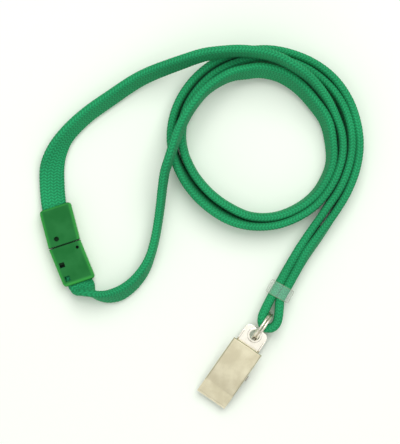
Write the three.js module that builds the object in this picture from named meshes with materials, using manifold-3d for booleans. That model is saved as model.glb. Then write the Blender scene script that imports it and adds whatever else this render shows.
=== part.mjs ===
// A lanyard with a breakaway clasp, a sliding bead, a split ring and a bulldog clip, lying in a loose coil.
// Millimetres, +Z up. It lies on the plane z = 0.
// The middle of its clasp, bead, ring and clip is over the origin.
import * as THREE from "three";
import { mergeVertices } from "three/addons/utils/BufferGeometryUtils.js";
import Module from "manifold-3d";

const wasm = await Module();
wasm.setup();

// Moves the board, on which everything below is laid out, so that the hard parts' middle is at the origin.
const BOARD_X = 12.61;
const BOARD_Y = 32.08;

// Strap: a flat tubular band, wide and thin in its run and bunched where the bead grips it.
const STRAP_WIDTH = 9.6;
const STRAP_THICK = 2.3;
const BUNCHED_WIDTH = 6.0;
const BUNCHED_THICK = 2.9;
const STEPS_BETWEEN_POINTS = 2;

// Clasp: two halves of one width that meet at a joint, each bent a little off the line between their ends.
const CLASP_X = -51.9;
const CLASP_Y = -8.6;
const CLASP_TURN = THREE.MathUtils.degToRad(18.3);
const CLASP_BEND = 0.066;
const CLASP_WIDTH = 12.5;
const CLASP_HEIGHT = 6;
const CLASP_CORNER = 1.6;
const SOCKET_LENGTH = 15;
const PLUG_LENGTH = 15.7;
const STRAP_SLOT_WIDTH = 10.4;
const STRAP_SLOT_HEIGHT = 3.1;
const STRAP_SLOT_DEPTH = 8.6;
const TONGUE_WIDTH = 6.8;
const TONGUE_THICK = 1.8;
const TONGUE_LENGTH = 5.4;
const TONGUE_ROOT = 3.2;
// Openings in its upper shells, in the clasp's own x and y.
const PEEPHOLE = { x: -2.2, y: 2.9, radius: 0.95 };
const VENT = { x: 4.4, y: -2.5, radius: 0.6 };
const WINDOW = { x: -3.3, y: -7.3 };
const NOTCH = { x: -2.9, y: -12.8 };
const OPENING_SIZE = 2;

// Bead: a clear barrel on both legs of the strap.
const BEAD_X = 30.6;
const BEAD_Y = -26.5;
const LEG_TURN = THREE.MathUtils.degToRad(60.7);
const BEAD_RADIUS = 5;
const BEAD_BORE = 4.3;
const BEAD_LENGTH = 5.4;
const BEAD_RIM = 0.3;
const BEAD_ROUND = 1.1;

// Split ring: two turns of wire side by side, standing in line with the clip.
const RING_X = 23.9;
const RING_Y = -39.9;
const RING_RADIUS = 5.7;
const RING_WIRE = 0.95;
const RING_PITCH = 1.1;
const RING_FIRST_END = 22;
const RING_LAST_END = 698;
const RING_CROSSING = 340;
const RING_CROSSING_SPAN = 40;

// Bulldog clip: laid out along u from its jaw to its tab, with v across it and w up.
const CLIP_TURN = THREE.MathUtils.degToRad(55.6);
const CLIP_JAW_X = 4.1;
const CLIP_JAW_Y = -68.1;
const SHEET = 0.6;
const COVER_WIDTH = 12.7;
const COVER_LENGTH = 25.1;
const COVER_BEND_U = 6.2;
const COVER_BEND_W = 6;
const COVER_TOP_W = 9;
const COVER_LIP_W = 2.6;
const COVER_WALL = 2.1;
const BACK_WIDTH = 10;
const BACK_LIP_W = 1.7;
const BACK_WALL_W = 2.6;
const LIP_LENGTH = 1;
const TAB_U = 23.6;
const TAB_RISE_U = 20.4;
const TAB_W = 2.3;
const TAB_END_U = 32.8;
const TAB_CORNER = 3;
const HOLE_U = 29.9;
const HOLE_RADIUS = 2;
const RIM_RADIUS = 2.8;
const RIM_HEIGHT = 0.4;
const PIN_U = 14.5;
const PIN_W = 4.4;
const PIN_RADIUS = 0.8;
const PIN_HEAD_RADIUS = 1.2;
const PIN_HEAD = 0.5;
const EAR_RADIUS = 2.1;
const SPRING_WIRE = 0.6;
const SPRING_RADIUS = 1.75;
const SPRING_TURNS = 3.5;
const SPRING_COIL_WIDTH = 3.4;
const SPRING_LEG_U = 19.5;
const SPRING_LEG_V = 1.9;

// Clearance between pieces, overlap of joined solids, and how far a cut runs past what it cuts.
const GAP = 0.3;
const OVERLAP = 0.2;
const PAST = 1;

const MATERIALS = {
  fabric: new THREE.MeshStandardMaterial({ color: 0x1f9a62, roughness: 0.85, metalness: 0 }),
  green_plastic: new THREE.MeshStandardMaterial({ color: 0x35854b, roughness: 0.35, metalness: 0 }),
  clear_plastic: new THREE.MeshStandardMaterial({ color: 0xe6efe8, roughness: 0.1, metalness: 0 }),
  nickel: new THREE.MeshStandardMaterial({ color: 0xd9cdb4, roughness: 0.3, metalness: 1 }),
  steel: new THREE.MeshStandardMaterial({ color: 0xb9b4aa, roughness: 0.35, metalness: 1 }),
};

// The strap's middle line from its end in the socket, round the coil, through the ring and back to the plug:
// x, y, height of the middle, lean of the upper edge to the left in degrees, and how far it is bunched.
const ROUTE = [
  // flat in the socket, then tipping on edge
  [-53.8, -1.85, 3, 90, 0],
  [-54.9, 2, 3, 90, 0],
  [-55.9, 5.9, 3, 90, 0],
  [-56.5, 10.4, 2.6, 90, 0],
  [-56.8, 15.4, 2.4, 88, 0],
  [-56.7, 20.8, 3, 76, 0],
  [-55.4, 25.8, 4.2, 52, 0],
  [-52, 32.1, 4.9, 32, 0],
  [-44.5, 39.9, 5, 27, 0],
  [-34.3, 47.3, 5.3, 26, 0],
  [-22.2, 55, 7, 24, 0],
  [-6.7, 60.9, 11.5, 20, 0],
  // over the two strands at the top
  [1.5, 63.4, 14, 17, 0],
  [7.6, 64.3, 15.2, 14, 0],
  [13.8, 64.8, 15.5, 12, 0],
  [18.9, 64.6, 15.5, 12, 0],
  [24.9, 63.7, 15.5, 12, 0],
  [30.1, 62, 15.2, 11, 0],
  [35.1, 59.3, 14.2, 10, 0],
  [42, 54.2, 11.2, 10, 0],
  [47.2, 48, 8.2, 11, 0],
  [51.1, 41.2, 6, 8, 0],
  // down the right side, third from outside
  [53.8, 33.8, 5, 7, 0],
  [54.2, 26.5, 5, 6, 0],
  [52.5, 19.4, 5, 5, 0],
  [49.1, 12.6, 5, 5, 0],
  [43.9, 6.4, 5, 5, 0],
  [36.7, 1.8, 5, 7, 0],
  [28.7, -0.8, 5, 10, 0],
  [19.8, -1, 5, 14, 0],
  [11.4, 1.4, 5, 19, 0],
  [3.9, 6.1, 5, 20, 0],
  [-2, 11.7, 5, 19, 0],
  [-6.3, 17.7, 5, 16, 0],
  [-9.6, 24.8, 5, 10, 0],
  [-11, 32.3, 5, 5, 0],
  [-10, 40, 5, 6, 0],
  [-7.3, 46.9, 5, 7, 0],
  [-2.7, 53.5, 5, 8, 0],
  [2.7, 58.5, 5, 9, 0],
  [8.8, 62.1, 5, 10, 0],
  [16.5, 64.6, 5, 10, 0],
  [25.3, 65.5, 5, 10, 0],
  [33.8, 64.2, 5, 9, 0],
  [43.1, 60.5, 5, 8, 0],
  [50.8, 54.7, 5, 8, 0],
  [56.2, 47.3, 5, 7, 0],
  [59.5, 38.8, 5, 6, 0],
  [60.7, 29.8, 5, 6, 0],
  [59.6, 21, 5, 6, 0],
  [56.4, 12.2, 5, 6, 0],
  [51.5, 3.4, 5, 1, 0],
  [45.7, -5.1, 5, -9, 0.15],
  [40.5, -12.4, 5, -12, 0.55],
  // bunched through the bead and round the ring
  [36.7, -19, 5, -3, 1],
  [33.5, -24.7, 5, 0, 1],
  [30.7, -29.8, 5.2, 0, 1],
  [30.3, -33.1, 5.8, 0, 1],
  [30, -36, 6.2, 0, 1],
  [29.2, -38.8, 6.2, 0, 1],
  [27.5, -40.4, 6.2, 0, 1],
  [25.3, -40.4, 6.2, 0, 1],
  [23.9, -38.9, 6.2, 0, 1],
  [23.8, -36.4, 6.2, 0, 1],
  [25.2, -32.9, 5.8, 0, 1],
  [27.5, -28.4, 5.2, 0, 1],
  [30.6, -23.1, 5, 0, 1],
  [33.8, -17.4, 5, 3, 1],
  // second from outside, up the right side and over the top
  [38.1, -10.4, 5, 10, 0.55],
  [43.1, -2.8, 5, 8, 0.15],
  [48, 4.7, 5, 0, 0],
  [53, 12.6, 5, -6, 0],
  [56.3, 20.5, 5, -6, 0],
  [57.8, 29.2, 5, -7, 0],
  [56.9, 37.6, 5, -8, 0],
  [53.9, 45.2, 5, -8, 0],
  [48.6, 52.1, 5, -9, 0],
  [41.4, 57.7, 5, -9, 0],
  [33, 61.1, 5, -11, 0],
  [25.2, 62, 5, -12, 0],
  [17.2, 61.2, 5, -12, 0],
  [10.2, 58.8, 5, -10, 0],
  [4.6, 55.4, 5, -9, 0],
  [0.1, 51.1, 5, -8, 0],
  [-3.9, 45.4, 5, -7, 0],
  [-6.3, 39.4, 5, -6, 0],
  [-7, 33.5, 5, -5, 0],
  [-6.4, 28.2, 5, -4, 0],
  [-4.6, 22.9, 5, -4, 0],
  [-1.3, 17.1, 5, -4, 0],
  [4.4, 10.7, 5, -4, 0],
  [11.2, 5.8, 5, -4, 0],
  [19.3, 2.3, 5, -4, 0],
  [28.1, 2.1, 5, -4, 0],
  [36.3, 4.9, 5, -5, 0],
  [43.3, 9.9, 5, -6, 0],
  [47.6, 15.8, 5, -8, 0],
  [50.2, 22.9, 5, -10, 0],
  [50, 30.8, 5.3, -14, 0],
  [48.1, 38.6, 5.9, -18, 0],
  [43.4, 45.5, 6.7, -20, 0],
  [37.4, 51.9, 7.6, -23, 0],
  [30.5, 56.2, 8.5, -25, 0],
  [23.1, 57.8, 9.3, -25, 0],
  [17.7, 57.2, 10, -23, 0],
  [12.2, 56.1, 10.9, -17, 0],
  [6.6, 53.3, 12.1, -11, 0],
  [2, 49.8, 13.6, -8, 0],
  // over the two strands on the left
  [-1.7, 45.5, 15, -8, 0],
  [-4.8, 41, 15.5, -9, 0],
  [-7.4, 35.9, 15.5, -10, 0],
  [-9.5, 30.5, 15.5, -9, 0],
  [-11.4, 24.8, 15, -8, 0],
  [-13.2, 19.3, 13, -7, 0],
  [-14.2, 13.6, 10, -6, 0],
  [-15, 7.2, 7, -5, 0],
  [-15.9, 0.8, 5.3, -4, 0],
  [-17.1, -6.1, 5, -4, 0],
  [-18.8, -12.5, 5, -5, 0],
  [-21, -17.6, 5, -12, 0],
  [-23.9, -21.8, 5, -18, 0],
  [-27.3, -25.1, 5, -22, 0],
  [-31.2, -27.5, 5, -26, 0],
  [-35.3, -28.5, 5, -20, 0],
  [-38.8, -28.2, 5, -10, 0],
  // tipping flat into the plug
  [-41.3, -27.2, 5, 2, 0],
  [-43.1, -26, 4.6, 34, 0],
  [-44.7, -24.9, 3.6, 66, 0],
  [-45.8, -23.6, 3.05, 88, 0],
  [-48, -18.9, 3, 90, 0],
  [-49.1, -16.1, 3, 90, 0],
];
// The last stretch bends when the plug is pulled, so it is a solid of its own from this point of the route.
const PLUG_STRETCH = 115;
const PLUG_STRETCH_GAP = 0.15;

// ---- solids ----

function solidOf(geometry) {
  const bare = geometry.index ? geometry.toNonIndexed() : geometry.clone();
  const points = new THREE.BufferGeometry().setAttribute("position", bare.getAttribute("position"));
  const merged = mergeVertices(points, 1e-4);
  const mesh = new wasm.Mesh({
    numProp: 3,
    vertProperties: new Float32Array(merged.attributes.position.array),
    triVerts: new Uint32Array(merged.index.array),
  });
  return new wasm.Manifold(mesh);
}

function geometryOf(solid) {
  const mesh = solid.getMesh();
  const geometry = new THREE.BufferGeometry();
  geometry.setAttribute("position", new THREE.BufferAttribute(mesh.vertProperties, 3));
  geometry.setIndex(new THREE.BufferAttribute(mesh.triVerts, 1));
  geometry.computeVertexNormals();
  return geometry;
}

function joined(solids) {
  return solids.reduce((whole, next) => whole.add(next));
}

function node(name, geometry, material) {
  const mesh = new THREE.Mesh(geometry, MATERIALS[material]);
  mesh.name = name;
  return mesh;
}

// A plan outline in x and y, between two heights.
function slab(shape, low, high) {
  const options = { depth: high - low, bevelEnabled: false, curveSegments: 5 };
  return solidOf(new THREE.ExtrudeGeometry(shape, options).translate(0, 0, low));
}

function box(x0, x1, y0, y1, z0, z1) {
  const geometry = new THREE.BoxGeometry(x1 - x0, y1 - y0, z1 - z0);
  return solidOf(geometry.translate((x0 + x1) / 2, (y0 + y1) / 2, (z0 + z1) / 2));
}

function drill(x, y, radius, z0, z1) {
  const geometry = new THREE.CylinderGeometry(radius, radius, z1 - z0, 20).rotateX(Math.PI / 2);
  return solidOf(geometry.translate(x, y, (z0 + z1) / 2));
}

// ---- strap ----

// Values of the route's later columns at step i of the sampled line.
function routeValue(column, i) {
  const at = i / STEPS_BETWEEN_POINTS;
  const k = Math.min(Math.floor(at), ROUTE.length - 2);
  return THREE.MathUtils.lerp(ROUTE[k][column], ROUTE[k + 1][column], at - k);
}

// The band's outline in its own plane: x across its width, y through its thickness, corners cut.
function bandSection(width, thick) {
  const w = width / 2;
  const t = thick / 2;
  const c = thick * 0.33;
  return [
    [w, -t * 0.5], [w, t * 0.5], [w - c, t], [c - w, t],
    [-w, t * 0.5], [-w, -t * 0.5], [c - w, -t], [w - c, -t],
  ];
}

// A ring of points round the route at one step, upright and leaning as the route says.
function bandRing(line, i, along) {
  const here = line[i];
  const before = line[Math.max(i - 1, 0)];
  const after = line[Math.min(i + 1, line.length - 1)];
  const forward = after.clone().sub(before).normalize();
  const left = new THREE.Vector3(-forward.y, forward.x, 0).normalize();
  const up = forward.clone().cross(left);
  const lean = THREE.MathUtils.degToRad(routeValue(3, i));
  const across = up.clone().multiplyScalar(Math.cos(lean)).addScaledVector(left, Math.sin(lean));
  const through = left.clone().multiplyScalar(Math.cos(lean)).addScaledVector(up, -Math.sin(lean));
  const bunch = routeValue(4, i);
  const width = THREE.MathUtils.lerp(STRAP_WIDTH, BUNCHED_WIDTH, bunch);
  const thick = THREE.MathUtils.lerp(STRAP_THICK, BUNCHED_THICK, bunch);
  return bandSection(width, thick).map(([x, y]) =>
    here.clone().addScaledVector(across, x).addScaledVector(through, y).addScaledVector(forward, along));
}

// A closed band through a list of rings of equal size.
function loft(rings) {
  const size = rings[0].length;
  const positions = rings.flat().flatMap((p) => [p.x, p.y, p.z]);
  const index = [];
  for (let r = 0; r + 1 < rings.length; r++) {
    for (let k = 0; k < size; k++) {
      const a = r * size + k;
      const b = r * size + ((k + 1) % size);
      index.push(a, a + size, b, b, a + size, b + size);
    }
  }
  const last = (rings.length - 1) * size;
  for (let k = 1; k + 1 < size; k++) {
    index.push(0, k, k + 1, last, last + k + 1, last + k);
  }
  const geometry = new THREE.BufferGeometry();
  geometry.setAttribute("position", new THREE.Float32BufferAttribute(positions, 3));
  geometry.setIndex(index);
  return geometry;
}

function strapBetween(first, last) {
  const curve = new THREE.CatmullRomCurve3(ROUTE.map(([x, y, z]) => new THREE.Vector3(x, y, z)));
  const line = curve.getPoints((ROUTE.length - 1) * STEPS_BETWEEN_POINTS);
  const rings = [];
  const start = first * STEPS_BETWEEN_POINTS;
  const end = last * STEPS_BETWEEN_POINTS;
  for (let i = start; i <= end; i++) {
    const nudge = (i === start && first > 0 ? 1 : 0) - (i === end && last < ROUTE.length - 1 ? 1 : 0);
    rings.push(bandRing(line, i, nudge * PLUG_STRETCH_GAP));
  }
  return loft(rings);
}

// ---- clasp, laid out with its joint at y = 0, the socket towards +y and the plug towards -y ----

function bent(x, y) {
  return [x + CLASP_BEND * Math.abs(y), y];
}

// A half's plan between its joint face and its far end, with the far corners rounded.
function claspOutline(near, far) {
  const half = CLASP_WIDTH / 2;
  const inward = Math.sign(near - far);
  const shape = new THREE.Shape();
  shape.moveTo(...bent(-half, near));
  shape.lineTo(...bent(-half, far + inward * CLASP_CORNER));
  shape.quadraticCurveTo(...bent(-half, far), ...bent(-half + CLASP_CORNER, far));
  shape.lineTo(...bent(half - CLASP_CORNER, far));
  shape.quadraticCurveTo(...bent(half, far), ...bent(half, far + inward * CLASP_CORNER));
  shape.lineTo(...bent(half, near));
  shape.closePath();
  return shape;
}

// The slot for the strap's end, following the half's bend.
function strapSlot(far) {
  const half = STRAP_SLOT_WIDTH / 2;
  const inner = far - Math.sign(far) * STRAP_SLOT_DEPTH;
  const past = far + Math.sign(far) * PAST;
  const shape = new THREE.Shape();
  shape.moveTo(...bent(-half, inner));
  shape.lineTo(...bent(half, inner));
  shape.lineTo(...bent(half, past));
  shape.lineTo(...bent(-half, past));
  shape.closePath();
  const middle = CLASP_HEIGHT / 2;
  return slab(shape, middle - STRAP_SLOT_HEIGHT / 2, middle + STRAP_SLOT_HEIGHT / 2);
}

function tongueSpace(clearance) {
  const half = TONGUE_WIDTH / 2 + clearance;
  const middle = CLASP_HEIGHT / 2;
  const z = TONGUE_THICK / 2 + clearance;
  return box(-half, half, -TONGUE_ROOT - clearance, TONGUE_LENGTH + clearance, middle - z, middle + z);
}

function squareHole(place, low) {
  const half = OPENING_SIZE / 2;
  return box(place.x - half, place.x + half, place.y - half, place.y + half, low, CLASP_HEIGHT + PAST);
}

function roundHole(place, low) {
  return drill(place.x, place.y, place.radius, low, CLASP_HEIGHT + PAST);
}

function shell(near, far, low, high) {
  return slab(claspOutline(near, far), low, high).subtract(strapSlot(far));
}

function claspParts() {
  const split = CLASP_HEIGHT / 2;
  const face = GAP / 2;
  const space = tongueSpace(GAP);
  const slotTop = split + STRAP_SLOT_HEIGHT / 2;
  const socketTop = shell(face, SOCKET_LENGTH, split + face, CLASP_HEIGHT)
    .subtract(space)
    .subtract(roundHole(PEEPHOLE, split));
  const socketBottom = shell(face, SOCKET_LENGTH, 0, split - face).subtract(space);
  const plugTop = shell(-face, -PLUG_LENGTH, split + face, CLASP_HEIGHT)
    .subtract(space)
    .subtract(roundHole(VENT, split))
    .subtract(squareHole(WINDOW, slotTop - OVERLAP))
    .subtract(squareHole(NOTCH, split));
  const plugBottom = shell(-face, -PLUG_LENGTH, 0, split - face).add(tongueSpace(0));
  return [
    node("clasp_socket_top_shell", geometryOf(socketTop), "green_plastic"),
    node("clasp_socket_bottom_shell", geometryOf(socketBottom), "green_plastic"),
    node("clasp_plug_top_shell", geometryOf(plugTop), "green_plastic"),
    node("clasp_plug_bottom_shell", geometryOf(plugBottom), "green_plastic"),
  ];
}

function clasp() {
  const group = new THREE.Group();
  group.position.set(CLASP_X, CLASP_Y, 0);
  group.rotation.z = CLASP_TURN;
  group.add(...claspParts());
  return group;
}

// ---- bead ----

function bead() {
  const half = BEAD_LENGTH / 2;
  const outline = new THREE.Path();
  outline.moveTo(BEAD_BORE, -half);
  outline.lineTo(BEAD_BORE + BEAD_RIM, -half);
  outline.quadraticCurveTo(BEAD_RADIUS, -half, BEAD_RADIUS, -half + BEAD_ROUND);
  outline.lineTo(BEAD_RADIUS, half - BEAD_ROUND);
  outline.quadraticCurveTo(BEAD_RADIUS, half, BEAD_BORE + BEAD_RIM, half);
  outline.lineTo(BEAD_BORE, half);
  outline.closePath();
  const geometry = new THREE.LatheGeometry(outline.getPoints(4), 28);
  const mesh = node("slide_bead", geometryOf(solidOf(geometry)), "clear_plastic");
  mesh.position.set(BEAD_X, BEAD_Y, BEAD_RADIUS);
  mesh.rotation.z = LEG_TURN - Math.PI / 2;
  return mesh;
}

// ---- split ring, standing in the plane of u and w ----

// The wire's sideways place at an angle round the ring: one turn, a short step across, then the other turn.
function ringSide(degrees) {
  const across = THREE.MathUtils.smoothstep(degrees, RING_CROSSING, RING_CROSSING + RING_CROSSING_SPAN);
  return RING_PITCH * (across - 0.5);
}

function splitRing() {
  const points = [];
  for (let degrees = RING_FIRST_END; degrees <= RING_LAST_END; degrees += 13) {
    const angle = THREE.MathUtils.degToRad(degrees - 90);
    const u = RING_RADIUS * Math.cos(angle);
    const w = RING_RADIUS * Math.sin(angle);
    points.push(new THREE.Vector3(u, ringSide(degrees), w));
  }
  const wire = new THREE.Shape().absarc(0, 0, RING_WIRE / 2, 0, Math.PI * 2);
  const options = { steps: 84, curveSegments: 4, extrudePath: new THREE.CatmullRomCurve3(points) };
  const geometry = new THREE.ExtrudeGeometry(wire, options);
  const mesh = node("split_ring", geometryOf(solidOf(geometry)), "nickel");
  mesh.position.set(RING_X, RING_Y, RING_RADIUS + RING_WIRE / 2);
  mesh.rotation.z = CLIP_TURN;
  return mesh;
}

// ---- bulldog clip ----

// A side profile in u and w, extruded across the clip between two places in v.
function profile(points, v0, v1) {
  const shape = new THREE.Shape(points.map(([u, w]) => new THREE.Vector2(u, w)));
  const geometry = new THREE.ExtrudeGeometry(shape, { depth: v1 - v0, bevelEnabled: false });
  return solidOf(geometry.rotateX(Math.PI / 2).translate(0, v1, 0));
}

function bothSides(points, inner, outer) {
  return profile(points, inner, outer).add(profile(points, -outer, -inner));
}

// A bent sheet: its lower line and the same line one sheet higher.
function sheetProfile(line, v0, v1) {
  const upper = line.map(([u, w]) => [u, w + SHEET]).reverse();
  return profile([...line, ...upper], v0, v1);
}

function crossPin(radius, v0, v1) {
  const geometry = new THREE.CylinderGeometry(radius, radius, v1 - v0, 16);
  return solidOf(geometry.translate(PIN_U, 0, 0).translate(0, (v0 + v1) / 2, PIN_W));
}

// The round ear at the pin, as points of a side profile from its right to its left, over or under the pin.
function ear(side) {
  const points = [];
  for (let k = 0; k <= 6; k++) {
    const angle = (Math.PI * k) / 6;
    points.push([PIN_U + EAR_RADIUS * Math.cos(angle), PIN_W + side * EAR_RADIUS * Math.sin(angle)]);
  }
  return points;
}

function coverHeight(u) {
  const slope = (COVER_TOP_W - COVER_BEND_W) / (COVER_LENGTH - COVER_BEND_U);
  return COVER_BEND_W + (u - COVER_BEND_U) * slope;
}

function clipCover() {
  const half = COVER_WIDTH / 2;
  const bend = [COVER_BEND_U, COVER_BEND_W];
  const end = [COVER_LENGTH, COVER_TOP_W];
  const plate = sheetProfile([[0, COVER_LIP_W], [LIP_LENGTH, COVER_LIP_W], bend, end], -half, half);
  const wallTop = COVER_LENGTH - 0.6;
  const wall = [
    [2.4, 3.6], [COVER_BEND_U, COVER_BEND_W + OVERLAP], [wallTop, coverHeight(wallTop) + OVERLAP],
    [COVER_LENGTH - 1.6, coverHeight(COVER_LENGTH) - COVER_WALL], [18.6, coverHeight(18.6) - COVER_WALL],
    ...ear(-1), [9.6, coverHeight(9.6) - COVER_WALL], [6.6, 3.7],
  ];
  const walls = bothSides(wall, half - SHEET, half);
  const cover = joined([plate, walls]).subtract(crossPin(PIN_RADIUS + GAP, -half - PAST, half + PAST));
  return node("clip_cover", geometryOf(cover), "nickel");
}

// The back's plan: straight sides and a tab with round corners.
function backOutline() {
  const half = BACK_WIDTH / 2;
  const shape = new THREE.Shape();
  shape.moveTo(-PAST, -half);
  shape.lineTo(TAB_END_U - TAB_CORNER, -half);
  shape.quadraticCurveTo(TAB_END_U, -half, TAB_END_U, -half + TAB_CORNER);
  shape.lineTo(TAB_END_U, half - TAB_CORNER);
  shape.quadraticCurveTo(TAB_END_U, half, TAB_END_U - TAB_CORNER, half);
  shape.lineTo(-PAST, half);
  shape.closePath();
  return shape;
}

function clipBack() {
  const half = BACK_WIDTH / 2;
  const foot = [[3, 0], [TAB_RISE_U, 0]];
  const tab = [[TAB_U, TAB_W], [TAB_END_U, TAB_W]];
  const plate = sheetProfile([[0, BACK_LIP_W], [LIP_LENGTH, BACK_LIP_W], ...foot, ...tab], -half, half);
  const wall = [
    [3.6, 0.1], [TAB_RISE_U, 0.1], [TAB_U, TAB_W + 0.1], [29.6, TAB_W + 0.1],
    [29.4, TAB_W + 1.5], [TAB_U, TAB_W + 1.5],
    [18.4, BACK_WALL_W], ...ear(1), [10.6, BACK_WALL_W], [6, 2],
  ];
  const walls = bothSides(wall, half - SHEET, half);
  const rim = drill(HOLE_U, 0, RIM_RADIUS, TAB_W, TAB_W + SHEET + RIM_HEIGHT);
  const whole = joined([plate.intersect(slab(backOutline(), -PAST, COVER_TOP_W)), walls, rim]);
  const hole = drill(HOLE_U, 0, HOLE_RADIUS, -PAST, COVER_TOP_W);
  const pinHole = crossPin(PIN_RADIUS + GAP, -half - PAST, half + PAST);
  return node("clip_back_jaw", geometryOf(whole.subtract(hole).subtract(pinHole)), "nickel");
}

// A rivet through all four walls: a head outside the right one, and its other end flush with the left one.
function clipPin() {
  const half = COVER_WIDTH / 2;
  const shank = crossPin(PIN_RADIUS, -half - GAP - PIN_HEAD / 2, half);
  const head = crossPin(PIN_HEAD_RADIUS, -half - GAP - PIN_HEAD, -half - GAP);
  return node("clip_pin", geometryOf(joined([shank, head])), "steel");
}

// A torsion spring: in along the plate, round the pin, and out under the cover.
function clipSpring() {
  const coilSteps = 42;
  const turn = SPRING_TURNS * 2 * Math.PI;
  const lowEnd = new THREE.Vector3(SPRING_LEG_U, -SPRING_LEG_V, 2 * SPRING_WIRE + 0.1);
  const underCover = coverHeight(SPRING_LEG_U) - SPRING_WIRE / 2 - GAP - 0.1;
  const highEnd = new THREE.Vector3(SPRING_LEG_U, SPRING_LEG_V, underCover);
  const points = [lowEnd];
  for (let k = 0; k <= coilSteps; k++) {
    const angle = -Math.PI / 2 - (turn * k) / coilSteps;
    const v = SPRING_COIL_WIDTH * (k / coilSteps - 0.5);
    const u = PIN_U + SPRING_RADIUS * Math.cos(angle);
    const w = PIN_W + SPRING_RADIUS * Math.sin(angle);
    points.push(new THREE.Vector3(u, v, w));
  }
  points.push(highEnd);
  const wire = new THREE.Shape().absarc(0, 0, SPRING_WIRE / 2, 0, Math.PI * 2);
  const options = { steps: 72, curveSegments: 3, extrudePath: new THREE.CatmullRomCurve3(points) };
  return node("clip_spring", geometryOf(solidOf(new THREE.ExtrudeGeometry(wire, options))), "steel");
}

function clip() {
  const group = new THREE.Group();
  group.position.set(CLIP_JAW_X, CLIP_JAW_Y, 0);
  group.rotation.z = CLIP_TURN;
  group.add(clipCover(), clipBack(), clipPin(), clipSpring());
  return group;
}

// ---- the whole ----

const lanyard = new THREE.Group();
lanyard.position.set(BOARD_X, BOARD_Y, 0);
lanyard.add(
  node("strap", geometryOf(solidOf(strapBetween(0, PLUG_STRETCH))), "fabric"),
  node("strap_plug_end", geometryOf(solidOf(strapBetween(PLUG_STRETCH, ROUTE.length - 1))), "fabric"),
  clasp(),
  bead(),
  splitRing(),
  clip(),
);

export default lanyard;
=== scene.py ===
"""A neck lanyard in a loose coil: knitted strap, breakaway clasp, bead, split ring and bulldog clip.

Lengths are in millimetres until they become a mesh, on the board that the lanyard is laid out on.
BOARD is where that board's middle lies in the row frame.
"""

import math

import bmesh
import bpy
import numpy as np
from mathutils import Matrix, Vector


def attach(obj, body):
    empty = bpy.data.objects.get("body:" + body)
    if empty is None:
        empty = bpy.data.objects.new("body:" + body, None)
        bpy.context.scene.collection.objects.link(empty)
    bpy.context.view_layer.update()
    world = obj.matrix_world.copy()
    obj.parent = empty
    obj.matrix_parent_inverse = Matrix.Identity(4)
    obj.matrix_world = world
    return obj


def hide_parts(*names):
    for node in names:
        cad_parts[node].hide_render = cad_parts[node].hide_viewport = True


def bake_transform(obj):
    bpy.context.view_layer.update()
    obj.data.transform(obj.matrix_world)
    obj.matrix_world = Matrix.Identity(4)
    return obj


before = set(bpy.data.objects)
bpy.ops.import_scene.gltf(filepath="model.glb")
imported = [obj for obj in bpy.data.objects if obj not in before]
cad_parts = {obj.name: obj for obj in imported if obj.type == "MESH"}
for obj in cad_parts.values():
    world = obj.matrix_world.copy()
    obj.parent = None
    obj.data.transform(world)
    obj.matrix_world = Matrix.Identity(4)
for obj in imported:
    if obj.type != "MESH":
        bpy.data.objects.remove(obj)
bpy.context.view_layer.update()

MM = 0.001
BOARD = Vector((12.61, 32.08, 0))

# Camera: straight above, with a long lens, the view's height just over the coil and the clip.
CAMERA_HEIGHT = 1000
VIEW_HEIGHT = 170.8
SENSOR = 36

# Strap
STRAP_WIDTH = 9.6
STRAP_THICK = 2.8
BUNCHED_WIDTH = 6.0
BUNCHED_THICK = 3.25
SPLINE_STEPS = 12
ROW = 1.2
RINGS_PER_ROW = 4
COLUMNS = 18
AROUND = 54
ZIGZAG = 0.75
RELIEF = 0.06
CROWN = 0.1
SOFTEN_STEPS = 25  # lean and bunch are evened out over so many spline steps

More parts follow.
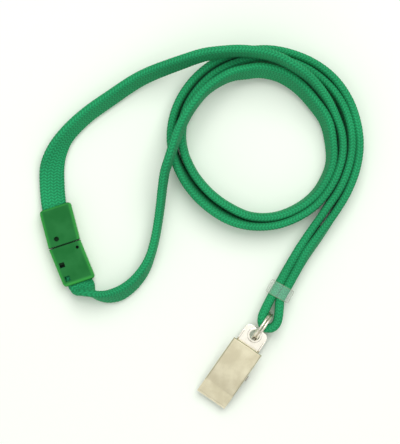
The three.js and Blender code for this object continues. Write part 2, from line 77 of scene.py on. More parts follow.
# The strap's middle line from its end in the socket, round the coil, through the ring and back to the plug:
# x, y, height of the middle, lean of the upper edge to the left in degrees, and how far it is bunched.
ROUTE = [
    # flat in the socket, then tipping on edge
    (-53.8, -1.85, 3, 90, 0),
    (-54.9, 2, 3, 90, 0),
    (-55.9, 5.9, 3, 90, 0),
    (-56.5, 10.4, 2.6, 90, 0),
    (-56.8, 15.4, 2.4, 88, 0),
    (-56.7, 20.8, 3, 76, 0),
    (-55.4, 25.8, 4.2, 52, 0),
    (-52, 32.1, 4.9, 32, 0),
    (-44.5, 39.9, 5, 27, 0),
    (-34.3, 47.3, 5.3, 26, 0),
    (-22.2, 55, 7, 24, 0),
    (-6.7, 60.9, 11.5, 20, 0),
    # over the two strands at the top
    (1.5, 63.4, 14, 17, 0),
    (7.6, 64.3, 15.2, 14, 0),
    (13.8, 64.8, 15.5, 12, 0),
    (18.9, 64.6, 15.5, 12, 0),
    (24.9, 63.7, 15.5, 12, 0),
    (30.1, 62, 15.2, 11, 0),
    (35.1, 59.3, 14.2, 10, 0),
    (42, 54.2, 11.2, 10, 0),
    (47.2, 48, 8.2, 11, 0),
    (51.1, 41.2, 6, 8, 0),
    # down the right side, third from outside
    (53.8, 33.8, 5, 7, 0),
    (54.2, 26.5, 5, 6, 0),
    (52.5, 19.4, 5, 5, 0),
    (49.1, 12.6, 5, 5, 0),
    (43.9, 6.4, 5, 5, 0),
    (36.7, 1.8, 5, 7, 0),
    (28.7, -0.8, 5, 10, 0),
    (19.8, -1, 5, 14, 0),
    (11.4, 1.4, 5, 19, 0),
    (3.9, 6.1, 5, 20, 0),
    (-2, 11.7, 5, 19, 0),
    (-6.3, 17.7, 5, 16, 0),
    (-9.6, 24.8, 5, 10, 0),
    (-11, 32.3, 5, 5, 0),
    (-10, 40, 5, 6, 0),
    (-7.3, 46.9, 5, 7, 0),
    (-2.7, 53.5, 5, 8, 0),
    (2.7, 58.5, 5, 9, 0),
    (8.8, 62.1, 5, 10, 0),
    (16.5, 64.6, 5, 10, 0),
    (25.3, 65.5, 5, 10, 0),
    (33.8, 64.2, 5, 9, 0),
    (43.1, 60.5, 5, 8, 0),
    (50.8, 54.7, 5, 8, 0),
    (56.2, 47.3, 5, 7, 0),
    (59.5, 38.8, 5, 6, 0),
    (60.7, 29.8, 5, 6, 0),
    (59.6, 21, 5, 6, 0),
    (56.4, 12.2, 5, 6, 0),
    (51.5, 3.4, 5, 1, 0),
    (45.7, -5.1, 5, -9, 0.15),
    (40.5, -12.4, 5, -12, 0.55),
    # bunched through the bead and round the ring
    (36.7, -19, 5, -3, 1),
    (33.5, -24.7, 5, 0, 1),
    (30.7, -29.8, 5.2, 0, 1),
    (30.3, -33.1, 5.8, 0, 1),
    (30, -36, 6.2, 0, 1),
    (29.2, -38.8, 6.2, 0, 1),
    (27.5, -40.4, 6.2, 0, 1),
    (25.3, -40.4, 6.2, 0, 1),
    (23.9, -38.9, 6.2, 0, 1),
    (23.8, -36.4, 6.2, 0, 1),
    (25.2, -32.9, 5.8, 0, 1),
    (27.5, -28.4, 5.2, 0, 1),
    (30.6, -23.1, 5, 0, 1),
    (33.8, -17.4, 5, 3, 1),
    # second from outside, up the right side and over the top
    (38.1, -10.4, 5, 10, 0.55),
    (43.1, -2.8, 5, 8, 0.15),
    (48, 4.7, 5, 0, 0),
    (53, 12.6, 5, -6, 0),
    (56.3, 20.5, 5, -6, 0),
    (57.8, 29.2, 5, -7, 0),
    (56.9, 37.6, 5, -8, 0),
    (53.9, 45.2, 5, -8, 0),
    (48.6, 52.1, 5, -9, 0),
    (41.4, 57.7, 5, -9, 0),
    (33, 61.1, 5, -11, 0),
    (25.2, 62, 5, -12, 0),
    (17.2, 61.2, 5, -12, 0),
    (10.2, 58.8, 5, -10, 0),
    (4.6, 55.4, 5, -9, 0),
    (0.1, 51.1, 5, -8, 0),
    (-3.9, 45.4, 5, -7, 0),
    (-6.3, 39.4, 5, -6, 0),
    (-7, 33.5, 5, -5, 0),
    (-6.4, 28.2, 5, -4, 0),
    (-4.6, 22.9, 5, -4, 0),
    (-1.3, 17.1, 5, -4, 0),
    (4.4, 10.7, 5, -4, 0),
    (11.2, 5.8, 5, -4, 0),
    (19.3, 2.3, 5, -4, 0),
    (28.1, 2.1, 5, -4, 0),
    (36.3, 4.9, 5, -5, 0),
    (43.3, 9.9, 5, -6, 0),
    (47.6, 15.8, 5, -8, 0),
    (50.2, 22.9, 5, -10, 0),
    (50, 30.8, 5.3, -14, 0),
    (48.1, 38.6, 5.9, -18, 0),
    (43.4, 45.5, 6.7, -20, 0),
    (37.4, 51.9, 7.6, -23, 0),
    (30.5, 56.2, 8.5, -25, 0),
    (23.1, 57.8, 9.3, -25, 0),
    (17.7, 57.2, 10, -23, 0),
    (12.2, 56.1, 10.9, -17, 0),
    (6.6, 53.3, 12.1, -11, 0),
    (2, 49.8, 13.6, -8, 0),
    # over the two strands on the left
    (-1.7, 45.5, 15, -8, 0),
    (-4.8, 41, 15.5, -9, 0),
    (-7.4, 35.9, 15.5, -10, 0),
    (-9.5, 30.5, 15.5, -9, 0),
    (-11.4, 24.8, 15, -8, 0),
    (-13.2, 19.3, 13, -7, 0),
    (-14.2, 13.6, 10, -6, 0),
    (-15, 7.2, 7, -5, 0),
    (-15.9, 0.8, 5.3, -4, 0),
    (-17.1, -6.1, 5, -4, 0),
    (-18.8, -12.5, 5, -5, 0),
    (-21, -17.6, 5, -12, 0),
    (-23.9, -21.8, 5, -18, 0),
    (-27.3, -25.1, 5, -22, 0),
    (-31.2, -27.5, 5, -26, 0),
    (-35.3, -28.5, 5, -20, 0),
    (-38.8, -28.2, 5, -10, 0),
    # tipping flat into the plug
    (-41.3, -27.2, 5, 2, 0),
    (-43.1, -26, 4.6, 34, 0),
    (-44.7, -24.9, 3.6, 66, 0),
    (-45.8, -23.6, 3.05, 88, 0),
    (-48, -18.9, 3, 90, 0),
    (-49.1, -16.1, 3, 90, 0),
]
PLUG_STRETCH = 115

# Clasp
CLASP = Vector((-51.9, -8.6, 0))
CLASP_TURN = math.radians(18.3)
CLASP_WIDTH = 12.5
CLASP_BEND = 0.066  # how far the middle line moves sideways for each millimetre from the joint
CLASP_HEIGHT = 6
CLASP_INSIDE = 5.5  # half the width of its hollow
CLASP_END = 13.2  # where its end corners begin, from the joint
CLASP_TIP = 14.9
SHELL_EDGE = 0.9

# Bead
BEAD = Vector((30.6, -26.5, 5))
BEAD_TURN = math.radians(60.7)
BEAD_RADIUS = 5
BEAD_BORE = 4.3
BEAD_LENGTH = 5.4

# Split ring
RING = Vector((23.9, -39.9, 6.175))
RING_RADIUS = 5.7
RING_WIRE = 0.95
RING_PITCH = 1.1
RING_ENDS = (22, 699)  # degrees round from its lowest point, over two turns
RING_CROSSING = 340
RING_CROSSING_SPAN = 40

# Clip, along u from its jaw to its tab
CLIP = Vector((4.1, -68.1, 0))
CLIP_TURN = math.radians(55.6)
PIN_U = 14.5
PIN_W = 4.4
SPRING_WIRE = 0.6
SPRING_RADIUS = 1.75
SPRING_TURNS = 3.5
SPRING_HALF = 1.7  # half the coil's width
SPRING_LOW_LEG = [(19.5, -1.9, 1.3), (18, -1.85, 1.6)]
SPRING_HIGH_LEG = [(17.6, 1.85, 7.0), (19.5, 1.9, 7.4)]
COVER_BEND_U = 6.2
COVER_EDGE_W = 6.5
COVER_SLOPE = 0.155
COVER_HALF_INSIDE = 6.3

# Studio: name, place on the board, size in metres, watts and colour of each light, all aimed at the middle.
LIGHTS = [
    ("window", (220, 600, 1050), 1.0, 11, (1.0, 1.0, 0.98)),
    ("ceiling", (-150, -200, 1500), 1.6, 7.2, (1.0, 1.0, 0.985)),
    ("card", (-850, -1240, 500), 1.5, 6, (1.0, 1.0, 0.985)),
]
WORLD_COLOUR = (1.0, 1.0, 0.985, 1)
WORLD_STRENGTH = 0.38
FLOOR_REACH = 4
FLOOR_DROP = 0.02


def to_row(point):
    """A point on the board, in millimetres, as a point in the row frame, in metres."""
    return (Vector(point) + BOARD) * MM


def placement(place, turn):
    """The matrix from a piece's own millimetres to the row frame's metres."""
    spot = Matrix.Translation(to_row(place))
    return spot @ Matrix.Rotation(turn, 4, "Z") @ Matrix.Scale(MM, 4)


# ---- node helpers ----


class Shader:
    """A material's node tree, with short names for what its recipes use."""

    def __init__(self, name):
        self.material = bpy.data.materials.new(name)
        self.material.use_nodes = True
        self.tree = self.material.node_tree
        self.surface = self.tree.nodes["Principled BSDF"]

    def set(self, **values):
        for name, value in values.items():
            self.surface.inputs[name.replace("_", " ")].default_value = value

    def link(self, source, target):
        self.tree.links.new(source, target)

    def drive(self, socket, source):
        self.link(source, self.surface.inputs[socket])

    def calc(self, operation, *values, clamp=False):
        node = self.tree.nodes.new("ShaderNodeMath")
        node.operation = operation
        node.use_clamp = clamp
        for socket, value in zip(node.inputs, values):
            if isinstance(value, (int, float)):
                socket.default_value = value
            else:
                self.link(value, socket)
        return node.outputs[0]

    def span(self, value, low, high, to_low=0.0, to_high=1.0):
        """Smoothly turns low..high into to_low..to_high."""
        node = self.tree.nodes.new("ShaderNodeMapRange")
        node.interpolation_type = "SMOOTHSTEP"
        self.link(value, node.inputs["Value"])
        for name, number in (("From Min", low), ("From Max", high), ("To Min", to_low), ("To Max", to_high)):
            node.inputs[name].default_value = number
        return node.outputs[0]

    def noise(self, scale, detail=2.0, place=None, roughness=0.5):
        node = self.tree.nodes.new("ShaderNodeTexNoise")
        node.inputs["Scale"].default_value = scale
        node.inputs["Detail"].default_value = detail
        node.inputs["Roughness"].default_value = roughness
        self.link(self.place() if place is None else place, node.inputs["Vector"])
        return node.outputs[0]

    def place(self):
        return self.tree.nodes.new("ShaderNodeTexCoord").outputs["Object"]

    def local(self, place, turn, stretch=(1, 1, 1)):
        """Places in a piece's own millimetres, after its turn on the board."""
        move = self.tree.nodes.new("ShaderNodeVectorMath")
        move.operation = "SUBTRACT"
        self.link(self.place(), move.inputs[0])
        move.inputs[1].default_value = to_row(place)
        node = self.tree.nodes.new("ShaderNodeMapping")
        node.vector_type = "POINT"
        self.link(move.outputs[0], node.inputs["Vector"])
        node.inputs["Rotation"].default_value = (0, 0, -turn)
        scale = self.tree.nodes.new("ShaderNodeVectorMath")
        scale.operation = "MULTIPLY"
        self.link(node.outputs[0], scale.inputs[0])
        scale.inputs[1].default_value = [s / MM for s in stretch]
        return scale.outputs[0]

    def split(self, vector):
        node = self.tree.nodes.new("ShaderNodeSeparateXYZ")
        self.link(vector, node.inputs[0])
        return node.outputs

    def mix(self, factor, first, second, blend="MIX"):
        node = self.tree.nodes.new("ShaderNodeMix")
        node.data_type = "RGBA"
        node.blend_type = blend
        for name, value in ((0, factor), (6, first), (7, second)):
            if isinstance(value, (int, float)):
                node.inputs[name].default_value = value
            elif isinstance(value, tuple):
                node.inputs[name].default_value = (*value, 1)
            else:
                self.link(value, node.inputs[name])
        return node.outputs[2]

    def bump(self, height, distance, strength=1.0):
        node = self.tree.nodes.new("ShaderNodeBump")
        node.inputs["Strength"].default_value = strength
        node.inputs["Distance"].default_value = distance * MM
        self.link(height, node.inputs["Height"])
        self.drive("Normal", node.outputs[0])


# ---- materials ----


def knit():
    """Stitches in columns that slant one way and then the other, with fine fibres on each. The low parts
    between the stitches are painted darker, as painted shade.
    """
    shader = Shader("knitted_polyester")
    weave = shader.tree.nodes.new("ShaderNodeUVMap")
    weave.uv_map = "weave"
    u, v, _ = shader.split(weave.outputs[0])
    pair = shader.calc("FRACT", shader.calc("MULTIPLY", u, 0.5))
    slant = shader.calc("ABSOLUTE", shader.calc("SUBTRACT", pair, 0.5))
    phase = shader.calc("ADD", v, shader.calc("MULTIPLY", slant, 2 * ZIGZAG))
    wave = shader.calc("COSINE", shader.calc("MULTIPLY", phase, 2 * math.pi))
    row = shader.calc("MULTIPLY_ADD", wave, 0.5, 0.5)
    column = shader.calc("SINE", shader.calc("MULTIPLY", shader.calc("FRACT", u), math.pi))
    stitch = shader.calc("MULTIPLY", row, shader.calc("POWER", column, 0.6))
    fibre = shader.noise(3200, 3)
    patch = shader.noise(45, 2)
    # Painted shade: the colour follows the stitch height and is darker in the low parts between stitches;
    # the fibre noise in it is the yarn's own texture.
    tall = shader.calc("MULTIPLY_ADD", fibre, 0.35, shader.calc("MULTIPLY", stitch, 0.9))
    colour = shader.mix(shader.span(tall, 0.1, 0.85), (0.008, 0.2, 0.072), (0.017, 0.36, 0.135))
    shade = shader.span(patch, 0.3, 0.7, 0.9, 1.06)
    tint = shader.tree.nodes.new("ShaderNodeCombineColor")
    for socket in tint.inputs:
        shader.link(shade, socket)
    shader.drive("Base Color", shader.mix(1.0, colour, tint.outputs[0], "MULTIPLY"))
    shader.set(Roughness=0.8, Sheen_Weight=0.06, Sheen_Roughness=0.4, Sheen_Tint=(0.5, 1, 0.75, 1))
    shader.set(Specular_IOR_Level=0.2)
    shader.bump(tall, 0.2, 0.45)
    return shader.material


def green_plastic():
    """Moulded green plastic. Its thin rims are painted paler and yellower, as painted light shining through
    them; the hollow's inner faces and the joint's gap between socket and plug are painted near black, as
    painted shade.
    """
    shader = Shader("green_plastic")
    x, y, z = shader.split(shader.local(CLASP, CLASP_TURN))
    bend = shader.calc("MULTIPLY", shader.calc("ABSOLUTE", y), CLASP_BEND)
    side = shader.calc("ABSOLUTE", shader.calc("SUBTRACT", x, bend))
    # Painted light: the outer rims and the far ends are painted paler and yellower, for light shining
    # through the thin plastic.
    rim = shader.span(side, CLASP_WIDTH / 2 - 1.5, CLASP_WIDTH / 2)
    end = shader.span(shader.calc("ABSOLUTE", y), 13.9, 15.2)
    edge = shader.calc("MAXIMUM", rim, end)
    cloud = shader.span(shader.noise(160, 3), 0.3, 0.7, 0.0, 1.0)
    face = shader.mix(cloud, (0.006, 0.135, 0.024), (0.014, 0.165, 0.036))
    outer = shader.mix(edge, face, (0.038, 0.33, 0.055))
    # Painted shade: the hollow's inner faces, below the top face and above the floor, and the joint's gap
    # between socket and plug are painted near black.
    hollow_shade = shader.calc("MULTIPLY", shader.span(z, 5.75, 5.3), shader.span(side, 5.5, 5.2))
    seam = shader.span(shader.calc("ABSOLUTE", y), 0.5, 0.2)
    hollow_and_joint_shade = shader.calc("MAXIMUM", seam, shader.calc("MULTIPLY", hollow_shade, shader.span(z, 0.2, 0.6)))
    shader.drive("Base Color", shader.mix(hollow_and_joint_shade, outer, (0.002, 0.05, 0.01)))
    shader.drive("Roughness", shader.span(shader.noise(900, 2), 0.3, 0.7, 0.3, 0.42))
    shader.set(Specular_IOR_Level=0.1)
    shader.bump(shader.noise(700, 2), 0.02, 0.4)
    return shader.material


def clear_plastic():
    """A thin clear wall, less see-through at its lips and sides. Its middle is painted green and its sides
    paler, as painted light for the strap and the floor seen through it, and its lips and sides are painted
    darker and browner, as painted shade.
    """
    shader = Shader("clear_plastic")
    across, along, _ = shader.split(shader.local(BEAD, BEAD_TURN - math.pi / 2))
    side = shader.calc("ABSOLUTE", across)
    end = shader.span(shader.calc("ABSOLUTE", along), BEAD_LENGTH / 2 - 0.4, BEAD_LENGTH / 2 - 0.1)
    # Painted shade: the lips, and the sides where the wall is seen edge-on, are painted darker and browner.
    edge = shader.calc("MAXIMUM", end, shader.span(side, BEAD_RADIUS - 0.4, BEAD_RADIUS - 0.15))
    # Painted light: green over the strap and paler beyond it, for what shows through the clear wall.
    body = shader.mix(shader.span(side, 2.6, 4.0), (0.5, 0.84, 0.72), (0.84, 0.86, 0.78))
    shader.drive("Base Color", shader.mix(edge, body, (0.46, 0.4, 0.32)))
    shader.drive("Alpha", shader.calc("MULTIPLY_ADD", edge, 0.14, 0.13))
    shader.set(Roughness=0.12, IOR=1.5)
    return shader.material


def plated(name, pale, dark, brush, polish):
    """Nickel plating, brushed across the clip and dulled in patches."""
    shader = Shader(name)
    across = shader.local(CLIP, CLIP_TURN, (0.35, 6, 1))
    streak = shader.noise(1.6, 4, across, 0.6)
    cloud = shader.noise(130, 3)
    blotch = shader.span(cloud, 0.32, 0.68)
    amount = shader.calc("MULTIPLY_ADD", streak, 0.5, shader.calc("MULTIPLY", blotch, 0.5))
    shader.drive("Base Color", shader.mix(shader.span(amount, 0.2, 0.8), dark, pale))
    shader.drive("Roughness", shader.span(amount, 0.2, 0.8, polish + 0.1, polish))
    shader.set(Metallic=1.0)
    shader.bump(streak, brush, 0.5)
    return shader.material


def floor_white():
    shader = Shader("floor_white")
    shader.drive("Base Color", shader.mix(shader.noise(9, 2), (0.86, 0.915, 0.84), (0.87, 0.925, 0.85)))
    shader.set(Roughness=0.9, Specular_IOR_Level=0.1)
    return shader.material


# ---- mesh helpers ----


def show(name, mesh, material):
    piece = bpy.data.objects.new(name, mesh)
    bpy.context.scene.collection.objects.link(piece)
    mesh.materials.clear()
    mesh.materials.append(material)
    return piece


def grid_mesh(name, rings, closed_ends=True):
    """A tube's mesh through rings, an array of shape (rings, points round each, 3), in metres."""
    count, size, _ = rings.shape
    near = np.arange(count - 1)[:, None] * size
    here = np.arange(size)[None, :]
    after = (here + 1) % size
    quads = np.stack([near + here, near + after, near + size + after, near + size + here], axis=-1)
    faces = quads.reshape(-1, 4).tolist()
    if closed_ends:
        faces.append(list(range(size))[::-1])
        faces.append([(count - 1) * size + k for k in range(size)])
    mesh = bpy.data.meshes.new(name)
    mesh.from_pydata(rings.reshape(-1, 3).tolist(), [], faces)
    mesh.polygons.foreach_set("use_smooth", [True] * len(mesh.polygons))
    mesh.update()
    return mesh


def unit(vectors):
    return vectors / np.linalg.norm(vectors, axis=1, keepdims=True)


def wire_mesh(name, points, radius, sides=14):
    """A round wire through points, its ends a little rounded, in the points' own units."""
    line = np.array(points, float)
    forward = unit(np.gradient(line, axis=0))
    side = np.zeros_like(line)
    side[0] = unit(np.cross(forward[:1], (0.3, 0.2, 1.0)))[0]
    for k in range(1, len(line)):
        side[k] = side[k - 1] - forward[k] * np.dot(side[k - 1], forward[k])
        side[k] /= np.linalg.norm(side[k])
    other = np.cross(forward, side)
    reach = np.full(len(line), float(radius))
    reach[0] = reach[-1] = radius * 0.7
    angle = np.arange(sides) * 2 * math.pi / sides
    ring = np.cos(angle)[None, :, None] * side[:, None, :] + np.sin(angle)[None, :, None] * other[:, None, :]
    rings = line[:, None, :] + reach[:, None, None] * ring
    return grid_mesh(name, rings)


def rounded(name, node, material, big=0.0, big_edges=None, small=0.15):
    """A copy of a CAD node with its edges rounded, standing for that node."""
    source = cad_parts[node].data
    shape = bmesh.new()
    shape.from_mesh(source)
    bmesh.ops.remove_doubles(shape, verts=shape.verts, dist=0.002 * MM)
    bmesh.ops.dissolve_limit(shape, angle_limit=math.radians(2), verts=shape.verts, edges=shape.edges)
    if big:
        chosen = [e for e in shape.edges if sharp(e) and big_edges(e)]
        bevel(shape, chosen, big, 5)
    bevel(shape, [e for e in shape.edges if sharp(e, 50)], small, 2)
    mesh = bpy.data.meshes.new(name)
    shape.to_mesh(mesh)
    shape.free()
    if "custom_normal" in mesh.attributes:
        mesh.attributes.remove(mesh.attributes["custom_normal"])
    mesh.polygons.foreach_set("use_smooth", [True] * len(mesh.polygons))
    mesh.set_sharp_from_angle(angle=math.radians(32))
    piece = show(name, mesh, material)
    normals = piece.modifiers.new("normals", "WEIGHTED_NORMAL")
    normals.keep_sharp = True
    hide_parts(node)
    return piece


def sharp(edge, degrees=30):
    return len(edge.link_faces) == 2 and edge.calc_face_angle(0) > math.radians(degrees)


def bevel(shape, edges, width, segments):
    bmesh.ops.bevel(
        shape, geom=edges, offset=width * MM, offset_type="OFFSET", segments=segments,
        profile=0.5, affect="EDGES", clamp_overlap=True,
    )


# ---- strap ----


def spline(points, steps):
    """A centripetal Catmull-Rom line through points, with so many steps between two of them."""
    p = np.array(points, float)
    ends = np.vstack([2 * p[0] - p[1], p, 2 * p[-1] - p[-2]])
    t = (np.arange(steps) / steps)[:, None]
    parts = []
    for k in range(len(p) - 1):
        a, b, c, d = ends[k:k + 4]
        ab, bc, cd = (math.sqrt(np.linalg.norm(q)) for q in (b - a, c - b, d - c))
        out = bc * ((b - a) / ab - (c - a) / (ab + bc) + (c - b) / bc)
        into = bc * ((c - b) / bc - (d - b) / (bc + cd) + (d - c) / cd)
        curve = b * (2 * t**3 - 3 * t**2 + 1) + out * (t**3 - 2 * t**2 + t)
        parts.append(curve + c * (3 * t**2 - 2 * t**3) + into * (t**3 - t**2))
    return np.vstack(parts + [p[-1:]])


def strap_line(first, last):
    """Evenly spaced places along the strap between two of the route's points, with lean, bunch and run."""
    line = spline([row[:3] for row in ROUTE], SPLINE_STEPS)
    run = np.concatenate([[0], np.cumsum(np.linalg.norm(np.diff(line, axis=0), axis=1))])
    low, high = run[first * SPLINE_STEPS], run[last * SPLINE_STEPS]
    here = np.linspace(low, high, int((high - low) * RINGS_PER_ROW / ROW))
    places = np.column_stack([np.interp(here, run, line[:, c]) for c in range(3)])
    forward = unit(np.column_stack([np.interp(here, run, g) for g in np.gradient(line, axis=0).T]))
    lean, bunch = (np.interp(here, run, softened(column)) for column in (3, 4))
    return places, forward, np.radians(lean), bunch, here


def softened(column):
    """One of the route's columns at each step of the spline, evened out along it."""
    steps = (len(ROUTE) - 1) * SPLINE_STEPS + 1
    nearest = np.round(np.arange(steps) / SPLINE_STEPS).astype(int)
    values = np.array([row[column] for row in ROUTE], float)[nearest]
    window = np.hanning(SOFTEN_STEPS)[1:-1]
    padded = np.pad(values, len(window) // 2, mode="edge")
    return np.convolve(padded, window / window.sum(), "valid")


def section(width, thick):
    """The band's outline for each width and thickness: places across and through, and which way they face.
    It starts at the middle of the lower edge and goes round at an even pace."""
    width, thick = width[:, None], thick[:, None]
    r = thick / 2
    flat = width - thick
    arc = math.pi * r
    q = (np.arange(AROUND) / AROUND)[None, :] * (2 * flat + 2 * arc)
    first, second, third = arc / 2, arc / 2 + flat, 1.5 * arc + flat
    fourth = third + flat
    rising = q < first
    one = (q >= first) & (q < second)
    top = (q >= second) & (q < third)
    two = (q >= third) & (q < fourth)
    angle = np.where(rising, q, np.where(top, q - second, q - fourth)) / r
    s, c = np.sin(angle), np.cos(angle)
    across_way = np.where(rising, -c, np.where(top, s, np.where(one | two, 0, -s)))
    through_way = np.where(rising, s, np.where(one, 1, np.where(top, c, np.where(two, -1, -c))))
    middle = np.where(one, q - first - flat / 2, np.where(two, flat / 2 - (q - third), 0))
    across = np.where(one | two, middle, np.where(top, flat / 2, -flat / 2) + r * across_way)
    crown = CROWN * (1 - (2 * across / width) ** 2)
    through = r * through_way + np.sign(through_way) * crown * np.abs(through_way)
    return across, through, across_way, through_way


def strap_mesh(name, first, last):
    places, forward, lean, bunch, run = strap_line(first, last)
    left = unit(np.column_stack([-forward[:, 1], forward[:, 0], np.zeros(len(forward))]))
    up = np.cross(forward, left)
    cos, sin = np.cos(lean)[:, None], np.sin(lean)[:, None]
    across_axis = cos * up + sin * left
    through_axis = cos * left - sin * up
    width = STRAP_WIDTH + (BUNCHED_WIDTH - STRAP_WIDTH) * bunch
    thick = STRAP_THICK + (BUNCHED_THICK - STRAP_THICK) * bunch
    across, through, across_way, through_way = section(width - RELIEF, thick - RELIEF)
    u = (np.arange(AROUND) / AROUND * COLUMNS)[None, :]
    v = (run / ROW)[:, None]
    phase = v + ZIGZAG * 2 * np.abs(np.mod(u / 2, 1) - 0.5)
    relief = RELIEF * np.cos(2 * math.pi * phase)
    a = (across + relief * across_way)[:, :, None]
    b = (through + relief * through_way)[:, :, None]
    rings = places[:, None, :] + a * across_axis[:, None, :] + b * through_axis[:, None, :]
    rings = (rings + np.array(BOARD)) * MM
    mesh = grid_mesh(name, rings)
    weave_map(mesh, len(rings), v[:, 0])
    return mesh, (places + np.array(BOARD)) * MM


def weave_map(mesh, count, v):
    """A map of stitches: columns round the band, rows along it. The end faces get one stitch."""
    columns = np.arange(AROUND + 1) / AROUND * COLUMNS
    u0, u1 = columns[:-1], columns[1:]
    us = np.stack([u0, u1, u1, u0], axis=-1)[None].repeat(count - 1, axis=0)
    v0, v1 = v[:-1, None], v[1:, None]
    vs = np.stack([v0, v0, v1, v1], axis=-1).repeat(AROUND, axis=1)
    uv = np.stack([us, vs], axis=-1).reshape(-1, 2)
    ends = np.zeros((len(mesh.loops) - len(uv), 2))
    layer = mesh.uv_layers.new(name="weave")
    layer.data.foreach_set("uv", np.vstack([uv, ends]).astype(np.float32).ravel())


def add_strap(material):
    mesh, path = strap_mesh("knit_strap", 0, PLUG_STRETCH)
    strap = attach(show("knit_strap", mesh, material), "strap_and_socket")
    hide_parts("strap")
    mesh, path = strap_mesh("knit_strap_plug_end", PLUG_STRETCH, len(ROUTE) - 1)
    end = show("knit_strap_plug_end", mesh, material)
    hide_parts("strap_plug_end")
    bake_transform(end)


# ---- clasp ----


def outer_rim(edge):
    """The clasp's outer upper and lower edges, and the round corners of its far ends."""
    turn = Matrix.Rotation(-CLASP_TURN, 3, "Z")
    ends = [turn @ (v.co / MM - BOARD - CLASP) for v in edge.verts]
    off_line = [abs(p.x - CLASP_BEND * abs(p.y)) for p in ends]
    along = [abs(p.y) for p in ends]
    on_face = all(min(p.z, CLASP_HEIGHT - p.z) < 0.05 for p in ends)
    on_side = all(x > CLASP_WIDTH / 2 - 0.05 or y > CLASP_END for x, y in zip(off_line, along))
    outside = all(x > CLASP_INSIDE or y > CLASP_TIP for x, y in zip(off_line, along))
    at_joint = all(y < 0.3 for y in along)
    return on_face and on_side and outside and not at_joint


def add_clasp(material):
    for name, node, body in (
        ("moulded_socket_top", "clasp_socket_top_shell", "strap_and_socket"),
        ("moulded_socket_bottom", "clasp_socket_bottom_shell", "strap_and_socket"),
        ("moulded_plug_top", "clasp_plug_top_shell", "clasp_plug"),
        ("moulded_plug_bottom", "clasp_plug_bottom_shell", "clasp_plug"),
    ):
        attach(rounded(name, node, material, SHELL_EDGE, outer_rim, 0.2), body)


# ---- bead ----


def add_bead(material):
    """A barrel with soft lips, thin in its wall, that bulges a little at its middle."""
    half = BEAD_LENGTH / 2
    outline = []
    for k in range(25):
        along = half * math.sin(math.pi * (k / 24 - 0.5))
        bulge = math.sqrt(max(1 - abs(along / half) ** 5, 0))
        outline.append((BEAD_BORE + (BEAD_RADIUS - BEAD_BORE) * (0.45 + 0.55 * bulge), along))
    for k in range(25):
        along = -half * 0.985 * math.sin(math.pi * (k / 24 - 0.5))
        outline.append((BEAD_BORE + 0.12 * (along / half) ** 4, along))
    sides = 56
    angle = np.arange(sides) * 2 * math.pi / sides
    rings = np.array([[(r * math.cos(a), y, r * math.sin(a)) for r, y in outline] for a in angle])
    rings = np.concatenate([rings, rings[:1]])
    mesh = grid_mesh("clear_bead", rings, closed_ends=False)
    shape = bmesh.new()
    shape.from_mesh(mesh)
    bmesh.ops.remove_doubles(shape, verts=shape.verts, dist=1e-4)
    bmesh.ops.recalc_face_normals(shape, faces=shape.faces)
    shape.to_mesh(mesh)
    shape.free()
    mesh.transform(placement(BEAD, BEAD_TURN - math.pi / 2))
    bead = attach(show("clear_bead", mesh, material), "bead")
    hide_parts("slide_bead")


# ---- split ring ----


def add_ring(material):
    points = []
    for degrees in range(*RING_ENDS, 4):
        angle = math.radians(degrees - 90)
        step = min(max((degrees - RING_CROSSING) / RING_CROSSING_SPAN, 0), 1)
        side = RING_PITCH * (step * step * (3 - 2 * step) - 0.5)
        points.append((RING_RADIUS * math.cos(angle), side, RING_RADIUS * math.sin(angle)))
    mesh = wire_mesh("wire_ring", points, RING_WIRE / 2, 16)
    mesh.transform(placement(RING, CLIP_TURN))
    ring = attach(show("wire_ring", mesh, material), "ring")
    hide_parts("split_ring")


# ---- clip ----


def clip_space(point):
    """A point of the row frame as u, v and w of the clip, in millimetres."""
    return Matrix.Rotation(-CLIP_TURN, 3, "Z") @ (point / MM - BOARD - CLIP)


def cover_rim(edge):
    """The cover's long upper edges."""
    ends = [clip_space(v.co) for v in edge.verts]
    on_side = all(abs(p.y) > COVER_HALF_INSIDE for p in ends)
    on_top = all(p.z > COVER_EDGE_W + (p.x - COVER_BEND_U) * COVER_SLOPE for p in ends)
    return on_side and on_top


def add_clip(cover_metal, tab_metal, steel):
    cover = rounded("plated_cover", "clip_cover", cover_metal, 0.8, cover_rim, 0.12)
    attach(cover, "clip_front")
    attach(rounded("plated_back_jaw", "clip_back_jaw", tab_metal, small=0.12), "clip_back")
    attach(rounded("steel_pin", "clip_pin", steel, small=0.12), "clip_back")
    add_spring(steel)


def add_spring(steel):
    """A torsion spring round the pin, with a leg on the back jaw and a leg under the cover."""
    coil = []
    steps = 90
    for k in range(steps + 1):
        angle = -math.pi / 2 - SPRING_TURNS * 2 * math.pi * k / steps
        u = PIN_U + SPRING_RADIUS * math.cos(angle)
        w = PIN_W + SPRING_RADIUS * math.sin(angle)
        coil.append((u, SPRING_HALF * (2 * k / steps - 1), w))
    line = spline(SPRING_LOW_LEG + coil + SPRING_HIGH_LEG, 2)
    mesh = wire_mesh("steel_spring", line, SPRING_WIRE / 2, 10)
    mesh.transform(placement(CLIP, CLIP_TURN))
    spring = show("steel_spring", mesh, steel)
    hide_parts("clip_spring")
    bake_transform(spring)


# ---- studio ----


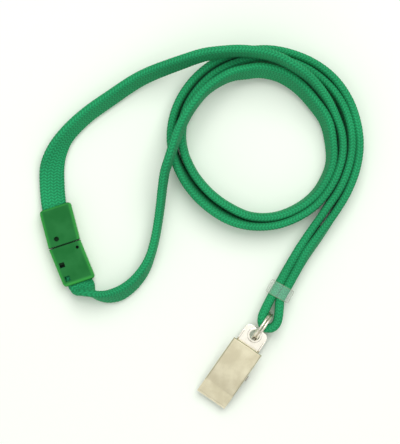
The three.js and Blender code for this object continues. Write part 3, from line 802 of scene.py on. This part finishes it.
def add_camera():
    data = bpy.data.cameras.new("camera")
    data.sensor_width = SENSOR
    data.lens = SENSOR * CAMERA_HEIGHT / VIEW_HEIGHT
    data.clip_start = 0.01
    camera = bpy.data.objects.new("camera", data)
    bpy.context.scene.collection.objects.link(camera)
    camera.location = to_row((0, 0, CAMERA_HEIGHT))
    bpy.context.scene.camera = camera


def add_floor():
    mesh = bpy.data.meshes.new("floor")
    corners = [(x * FLOOR_REACH, y * FLOOR_REACH, 0) for x, y in ((-1, -1), (1, -1), (1, 1), (-1, 1))]
    mesh.from_pydata(corners, [], [(0, 1, 2, 3)])
    floor = bpy.data.objects.new("floor", mesh)
    bpy.context.scene.collection.objects.link(floor)
    floor.location.z = -FLOOR_DROP * MM
    mesh.materials.append(floor_white())


def add_light(name, place, size, power, colour):
    data = bpy.data.lights.new(name, "AREA")
    data.size = size
    data.energy = power
    data.color = colour
    light = bpy.data.objects.new(name, data)
    bpy.context.scene.collection.objects.link(light)
    light.location = to_row(place)
    light.rotation_euler = (to_row((0, 0, 0)) - light.location).to_track_quat("-Z", "Y").to_euler()


def add_lights():
    world = bpy.data.worlds.new("studio")
    world.use_nodes = True
    background = world.node_tree.nodes["Background"]
    background.inputs["Color"].default_value = WORLD_COLOUR
    background.inputs["Strength"].default_value = WORLD_STRENGTH
    bpy.context.scene.world = world
    for light in LIGHTS:
        add_light(*light)
    bpy.context.scene.view_settings.view_transform = "Standard"


add_camera()
add_strap(knit())
add_floor()
add_lights()
add_clasp(green_plastic())
add_bead(clear_plastic())
add_ring(plated("bright_nickel", (0.93, 0.87, 0.76), (0.84, 0.76, 0.63), 0.01, 0.25))
# The cover and the back jaw are one nickel plating: the cover is painted darker and beige and the back jaw
# near white, as painted reflection of what each faces.
add_clip(
    plated("satin_nickel_painted_beige_reflection", (0.70, 0.655, 0.48), (0.59, 0.54, 0.38), 0.04, 0.3),
    plated("nickel_painted_white_reflection", (0.82, 0.79, 0.71), (0.73, 0.7, 0.61), 0.01, 0.12),
    plated("spring_steel", (0.7, 0.67, 0.62), (0.52, 0.5, 0.46), 0.01, 0.3),
)

bpy.context.view_layer.update()
